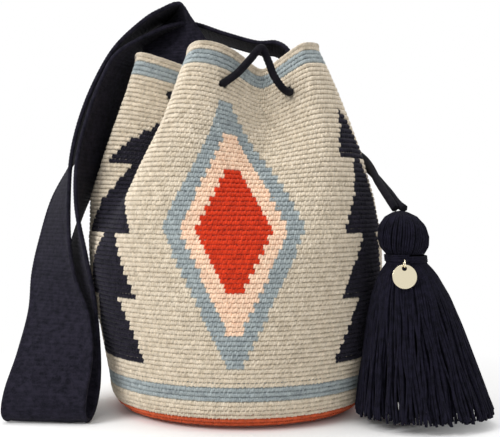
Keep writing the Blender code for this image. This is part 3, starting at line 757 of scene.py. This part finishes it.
ply = bpy.data.node_groups.new("ply_yarn", "GeometryNodeTree")
ply.is_modifier = True
ply.interface.new_socket("Geometry", in_out="INPUT", socket_type="NodeSocketGeometry")
ply.interface.new_socket("Yarn", in_out="INPUT", socket_type="NodeSocketMaterial")
ply.interface.new_socket("Geometry", in_out="OUTPUT", socket_type="NodeSocketGeometry")
begin, end = ply.nodes.new("NodeGroupInput"), ply.nodes.new("NodeGroupOutput")
circle = ply.nodes.new("GeometryNodeCurvePrimitiveCircle")
circle.inputs["Resolution"].default_value = 5
circle.inputs["Radius"].default_value = 1.0
sweep = ply.nodes.new("GeometryNodeCurveToMesh")
sweep.inputs["Fill Caps"].default_value = True
if "Scale" in sweep.inputs:
    girth = ply.nodes.new("GeometryNodeInputRadius")
    ply.links.new(girth.outputs[0], sweep.inputs["Scale"])
real = ply.nodes.new("GeometryNodeRealizeInstances")
dye = ply.nodes.new("GeometryNodeSetMaterial")
ply.links.new(begin.outputs["Geometry"], sweep.inputs["Curve"])
ply.links.new(circle.outputs[0], sweep.inputs["Profile Curve"])
ply.links.new(sweep.outputs[0], real.inputs[0])
ply.links.new(real.outputs[0], dye.inputs["Geometry"])
ply.links.new(begin.outputs["Yarn"], dye.inputs["Material"])
ply.links.new(dye.outputs[0], end.inputs[0])
ply_sockets = {item.name: item.identifier for item in ply.interface.items_tree if item.in_out == "INPUT"}
tassel_finish = yarn_finish("tassel_cotton", (0.010, 0.009, 0.020), (0.002, 0.002, 0.005),
                            scale=1300.0, height=0.7, sheen=0.01)
build = strands.modifiers.new("plies", "NODES")
build.node_group = ply
build[ply_sockets["Yarn"]] = tassel_finish
bpy.context.view_layer.update()
bundle = bpy.data.meshes.new_from_object(strands.evaluated_get(bpy.context.evaluated_depsgraph_get()))
bpy.data.objects.remove(strands)
tassel = bpy.data.objects.new("tassel_yarn", bundle)
scene.collection.objects.link(tassel)
bundle.shade_smooth()
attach(tassel, "bag")
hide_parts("tassel")


# Tassel binding: four turns of the same yarn, wound tight round the neck and knotted.
# One helix of yarn 1.4 mm thick, which presses the bundle together.
t = np.linspace(0, 1, 200)
turn = t * 4 * math.tau
height = 0.1078 + 0.0044 * t
line = leaned(np.full_like(t, 0.0135), turn, height)
binding = new_mesh("neck_winding", tube_points(line, 0.00068, 10), ring_quads(len(line), 10), tassel_finish)
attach(binding, "bag")
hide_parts("tassel_binding")


# Charm loop: a short piece of yarn, knotted into the neck, that carries the ring.
# It is 1.2 mm thick and stands out about 5 mm from the neck.
neck = np.array((foot[0] + tilt[0] * 0.110 - 0.0045, foot[1] + tilt[1] * 0.110 - 0.0150, 0.1092))
t = np.linspace(0, math.pi, 33)
line = neck + np.stack([-0.0026 * np.cos(t), -0.0009 - 0.0048 * np.sin(t), 0 * t], axis=1)
thread = new_mesh("charm_loop_yarn", tube_points(line, 0.0006, 12), ring_quads(len(line), 12), tassel_finish)
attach(thread, "bag")
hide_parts("charm_thread")


# Jump ring: a bent piece of gold plated wire, 0.8 mm thick, that swings in the loop of yarn.
# The disc hangs on it. The plating is the same on both.
gold = bpy.data.materials.new("gold_plating")
gold.use_nodes = True
nodes, wires = gold.node_tree.nodes, gold.node_tree.links
shader = nodes["Principled BSDF"]
shader.inputs["Base Color"].default_value = (1.0, 0.90, 0.66, 1)
shader.inputs["Metallic"].default_value = 1.0
shader.inputs["Roughness"].default_value = 0.16
wear = nodes.new("ShaderNodeTexNoise")
wear.inputs["Scale"].default_value = 700.0
place = nodes.new("ShaderNodeTexCoord")
dent = nodes.new("ShaderNodeBump")
dent.inputs["Strength"].default_value = 0.15
dent.inputs["Distance"].default_value = 0.0004
wires.new(place.outputs["Object"], wear.inputs["Vector"])
wires.new(wear.outputs[0], dent.inputs["Height"])
wires.new(dent.outputs[0], shader.inputs["Normal"])
ring_low, ring_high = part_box("charm_ring")
ring_centre = np.array((ring_low + ring_high) / 2)
ring_radius, wire_radius, ring_steps, wire_sides = 0.0026, 0.0004, 48, 14
t = np.arange(ring_steps) / ring_steps * math.tau
around = np.arange(wire_sides) / wire_sides * math.tau
reach = ring_radius + wire_radius * np.cos(around)[None, :]
ring = ring_centre + np.stack([
    np.broadcast_to(wire_radius * np.sin(around)[None, :], (ring_steps, wire_sides)),
    reach * np.cos(t)[:, None], reach * np.sin(t)[:, None]], axis=-1)
quads = ring_quads(ring_steps + 1, wire_sides) % (ring_steps * wire_sides)
jump_ring = new_mesh("gold_jump_ring", ring, quads, gold)
close_mesh(jump_ring.data)
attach(jump_ring, "ring")
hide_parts("charm_ring")


# Charm disc: a plain stamped disc, 15.6 mm wide, with one hole for the ring and soft edges.
# It hangs from the ring and leans back a little on the tassel.
disc_radius, disc_thickness, hole_radius, hole_offset, ring_play = 0.0078, 0.0006, 0.0016, 0.0053, 0.0005
bpy.ops.mesh.primitive_cylinder_add(vertices=96, radius=disc_radius, depth=disc_thickness)
disc = bpy.context.object
disc.name = "gold_disc"
bpy.ops.mesh.primitive_cylinder_add(vertices=40, radius=hole_radius, depth=0.003, location=(0, hole_offset, 0))
punch = bpy.context.object
hole = disc.modifiers.new("hole", "BOOLEAN")
hole.operation = "DIFFERENCE"
hole.solver = "EXACT"
hole.object = punch
soften = disc.modifiers.new("soft_edge", "BEVEL")
soften.width = 0.00018
soften.segments = 3
soften.limit_method = "ANGLE"
bpy.context.view_layer.update()
disc.data = bpy.data.meshes.new_from_object(disc.evaluated_get(bpy.context.evaluated_depsgraph_get()))
disc.modifiers.clear()
bpy.data.objects.remove(punch)
pivot = Vector(ring_centre) - Vector((0, 0, ring_radius))
disc.data.transform(Matrix.Translation(pivot) @ Matrix.Rotation(math.radians(78), 4, "X")
                    @ Matrix.Translation((0, -hole_offset - ring_play, 0)))
disc.location = (0, 0, 0)
disc.data.materials.clear()
disc.data.materials.append(gold)
disc.data.set_sharp_from_angle(angle=math.radians(35))
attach(disc, "disc")
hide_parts("charm_disc")


low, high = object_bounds()
